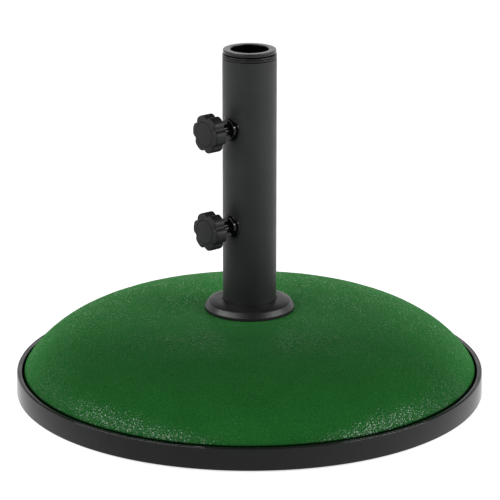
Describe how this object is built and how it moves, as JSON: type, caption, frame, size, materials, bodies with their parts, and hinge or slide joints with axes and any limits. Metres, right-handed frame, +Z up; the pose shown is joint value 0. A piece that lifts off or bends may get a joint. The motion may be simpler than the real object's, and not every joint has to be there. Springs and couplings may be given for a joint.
{
  "type": "patio umbrella base",
  "caption": "Domed round ballast base in a plastic tray, with an upright tube, two star clamping knobs and nested reducers that hold an umbrella pole.",
  "frame": {"origin": "on the floor, under the axis of the upright tube", "axes": "+Z up along the tube; both clamping knobs point along -Y"},
  "size_m": [0.4499, 0.45, 0.3354],
  "materials": {
    "tray_plastic": "semi-gloss moulded",
    "foot_rubber": "matt",
    "green_concrete": "sandy, painted",
    "bright_steel": "drawn wire",
    "zinc_steel": "zinc plated",
    "flange_plastic": "gloss",
    "tube_paint": "satin powder coat",
    "reducer_plastic": "satin",
    "bush_plastic": "gloss",
    "knob_plastic": "fine matt texture",
    "pad_plastic": "natural nylon"
  },
  "bodies": {
    "base": {"base_tray": "tray_plastic", "rubber_feet": "foot_rubber", "concrete_ballast": "green_concrete", "reinforcement_wire": "bright_steel", "anchor_bolt": "zinc_steel", "lock_washer": "zinc_steel", "anchor_washer": "zinc_steel", "stem_flange": "flange_plastic", "stem_tube": "tube_paint", "end_plate": "tube_paint", "end_plate_nut": "zinc_steel", "upper_weld_nut": "bush_plastic", "lower_weld_nut": "bush_plastic"},
    "outer_reducer": {"outer_reducer": "reducer_plastic"},
    "inner_reducer": {"inner_reducer": "reducer_plastic"},
    "upper_pad": {"upper_pressure_pad": "pad_plastic"},
    "upper_knob": {"upper_knob_grip": "knob_plastic", "upper_knob_cap": "knob_plastic", "upper_knob_stud": "zinc_steel"},
    "lower_pad": {"lower_pressure_pad": "pad_plastic"},
    "lower_knob": {"lower_knob_grip": "knob_plastic", "lower_knob_cap": "knob_plastic", "lower_knob_stud": "zinc_steel"}
  },
  "joints": [
    {"name": "outer_reducer_lift", "type": "slide", "parent": "base", "child": "outer_reducer", "axis": [0, 0, 1], "range_m": [0, 0.06]},
    {"name": "inner_reducer_lift", "type": "slide", "parent": "outer_reducer", "child": "inner_reducer", "axis": [0, 0, 1], "range_m": [0, 0.06]},
    {"name": "upper_pad_slide", "type": "slide", "parent": "base", "child": "upper_pad", "axis": [0, 1, 0], "range_m": [-0.0013, 0.0071]},
    {"name": "upper_knob_turn", "type": "hinge", "parent": "upper_pad", "child": "upper_knob", "pos_m": [0, -0.048, 0.2617], "axis": [0, 1, 0], "range_deg": [-360, 2016]},
    {"name": "lower_pad_slide", "type": "slide", "parent": "base", "child": "lower_pad", "axis": [0, 1, 0], "range_m": [-0.0013, 0.0071]},
    {"name": "lower_knob_turn", "type": "hinge", "parent": "lower_pad", "child": "lower_knob", "pos_m": [0, -0.048, 0.1669], "axis": [0, 1, 0], "range_deg": [-360, 2016]}
  ],
  "couplings": [
    {"joint": "upper_pad_slide", "follows": "upper_knob_turn", "m_per_rad": 0.00019894},
    {"joint": "lower_pad_slide", "follows": "lower_knob_turn", "m_per_rad": 0.00019894}
  ]
}
